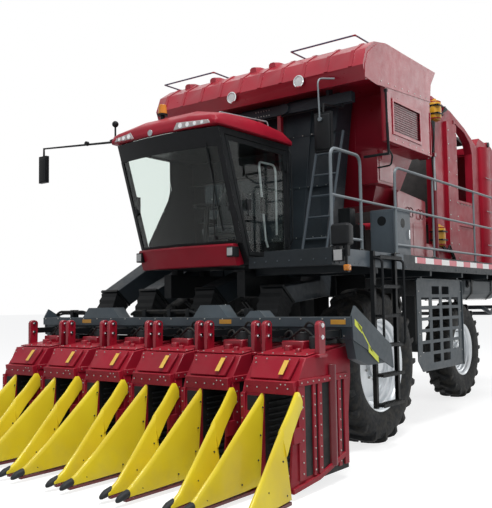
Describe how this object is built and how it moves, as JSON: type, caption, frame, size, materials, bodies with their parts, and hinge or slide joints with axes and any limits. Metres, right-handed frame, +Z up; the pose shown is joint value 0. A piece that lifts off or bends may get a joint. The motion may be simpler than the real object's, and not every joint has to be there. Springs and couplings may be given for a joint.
{
  "type": "self-propelled cotton picker with on-board round module builder",
  "caption": "Self-propelled cotton picker: lifting row-unit header, glazed cab, air ducts, cotton accumulator, round module builder with rear gate and steered rear wheels.",
  "frame": {"origin": "on the ground under the middle of the machine's overall box", "axes": "+Z up, the header and windscreen face -Y, +X is the machine's own left, the side with the access ladder"},
  "size_m": [4.846, 10.2, 5.1104],
  "materials": {
    "crimson_enamel": "glossy sprayed enamel, slightly faded",
    "graphite_enamel": "satin powder coat with dust",
    "black_enamel": "satin black",
    "polished_rod": "hard chrome rod",
    "tinted_glass": "green tinted safety glass",
    "seat_cloth": "woven seat cloth",
    "tank_plastic": "moulded polyethylene",
    "engine_iron": "painted casting",
    "belt_rubber": "ribbed belt rubber",
    "rim_silver": "silver wheel paint",
    "tyre_rubber": "dusty black rubber"
  },
  "bodies": {
    "machine": {"access_ladder": "graphite_enamel", "accumulator": "crimson_enamel", "builder_frame": "crimson_enamel", "cab_frame": "graphite_enamel", "cab_rear_glass": "tinted_glass", "cab_roof": "crimson_enamel", "cab_side_glass": "tinted_glass", "chassis_frame": "graphite_enamel", "duct_bank": "graphite_enamel", "engine_block": "engine_iron", "engine_side_panel": "crimson_enamel", "front_axle": "graphite_enamel", "fuel_tank": "tank_plastic", "guard_panel": "graphite_enamel", "mirror_left_side": "black_enamel", "mirror_right_side": "black_enamel", "module_belts": "belt_rubber", "operator_seat": "seat_cloth", "platform_railing": "graphite_enamel", "rear_axle": "graphite_enamel", "roof_beam": "graphite_enamel", "service_cabinet": "graphite_enamel", "side_platform": "graphite_enamel", "steering_column": "black_enamel", "upper_ladder": "graphite_enamel", "windscreen": "tinted_glass"},
    "header": {"header_toolbar": "graphite_enamel", "picker_head_1": "crimson_enamel", "picker_head_2": "crimson_enamel", "picker_head_3": "crimson_enamel", "picker_head_4": "crimson_enamel", "picker_head_5": "crimson_enamel", "picker_head_6": "crimson_enamel"},
    "lift_barrel_left": {"lift_barrel_left": "black_enamel"},
    "lift_rod_left": {"lift_rod_left": "polished_rod"},
    "knuckle_left": {"steering_knuckle_left": "graphite_enamel"},
    "wheel_front_left": {"tyre_front_left": "tyre_rubber", "rim_front_left": "rim_silver"},
    "wheel_rear_left": {"tyre_rear_left": "tyre_rubber", "rim_rear_left": "rim_silver"},
    "lift_barrel_right": {"lift_barrel_right": "black_enamel"},
    "lift_rod_right": {"lift_rod_right": "polished_rod"},
    "knuckle_right": {"steering_knuckle_right": "graphite_enamel"},
    "wheel_front_right": {"tyre_front_right": "tyre_rubber", "rim_front_right": "rim_silver"},
    "wheel_rear_right": {"tyre_rear_right": "tyre_rubber", "rim_rear_right": "rim_silver"},
    "cab_door": {"cab_door": "black_enamel", "cab_door_glass": "tinted_glass"},
    "rear_gate": {"rear_gate": "crimson_enamel"},
    "bale_handler": {"bale_handler": "graphite_enamel"}
  },
  "joints": [
    {"name": "header_lift", "type": "hinge", "parent": "machine", "child": "header", "pos_m": [0, -1.72, 1.3], "axis": [-1, 0, 0], "range_deg": [0, 18]},
    {"name": "lift_barrel_swing_left", "type": "hinge", "parent": "machine", "child": "lift_barrel_left", "pos_m": [0.78, -1.5, 0.8], "axis": [-1, 0, 0], "range_deg": [0, 11.4]},
    {"name": "lift_rod_slide_left", "type": "slide", "parent": "lift_barrel_left", "child": "lift_rod_left", "axis": [0, -0.9409, 0.3388], "range_m": [0, 0.112]},
    {"name": "lift_barrel_swing_right", "type": "hinge", "parent": "machine", "child": "lift_barrel_right", "pos_m": [-0.78, -1.5, 0.8], "axis": [-1, 0, 0], "range_deg": [0, 11.4]},
    {"name": "lift_rod_slide_right", "type": "slide", "parent": "lift_barrel_right", "child": "lift_rod_right", "axis": [0, -0.9409, 0.3388], "range_m": [0, 0.112]},
    {"name": "wheel_spin_front_left", "type": "hinge", "parent": "machine", "child": "wheel_front_left", "pos_m": [1.505, -1.206, 0.97], "axis": [-1, 0, 0], "continuous": true},
    {"name": "steer_left", "type": "hinge", "parent": "machine", "child": "knuckle_left", "pos_m": [0.38, 3.514, 0.873], "axis": [0, 0, 1], "range_deg": [-25, 25]},
    {"name": "wheel_spin_rear_left", "type": "hinge", "parent": "knuckle_left", "child": "wheel_rear_left", "pos_m": [0.8, 3.514, 0.873], "axis": [-1, 0, 0], "continuous": true},
    {"name": "wheel_spin_front_right", "type": "hinge", "parent": "machine", "child": "wheel_front_right", "pos_m": [-1.505, -1.206, 0.97], "axis": [-1, 0, 0], "continuous": true},
    {"name": "steer_right", "type": "hinge", "parent": "machine", "child": "knuckle_right", "pos_m": [-0.38, 3.514, 0.873], "axis": [0, 0, 1], "range_deg": [-25, 25]},
    {"name": "wheel_spin_rear_right", "type": "hinge", "parent": "knuckle_right", "child": "wheel_rear_right", "pos_m": [-0.8, 3.514, 0.873], "axis": [-1, 0, 0], "continuous": true},
    {"name": "cab_door_hinge", "type": "hinge", "parent": "machine", "child": "cab_door", "pos_m": [0.82, -1.925, 3], "axis": [0, 0, 1], "range_deg": [0, 60]},
    {"name": "rear_gate_hinge", "type": "hinge", "parent": "machine", "child": "rear_gate", "pos_m": [0, 3.76, 4.62], "axis": [1, 0, 0], "range_deg": [0, 60]},
    {"name": "bale_handler_hinge", "type": "hinge", "parent": "machine", "child": "bale_handler", "pos_m": [0, 4.32, 1.62], "axis": [-1, 0, 0], "range_deg": [0, 40]}
  ],
  "couplings": [
    {"joint": "lift_barrel_swing_left", "follows": "header_lift", "ratio": 0.633},
    {"joint": "lift_rod_slide_left", "follows": "header_lift", "m_per_rad": 0.3552},
    {"joint": "lift_barrel_swing_right", "follows": "header_lift", "ratio": 0.633},
    {"joint": "lift_rod_slide_right", "follows": "header_lift", "m_per_rad": 0.3552},
    {"joint": "steer_right", "follows": "steer_left", "ratio": 1}
  ]
}
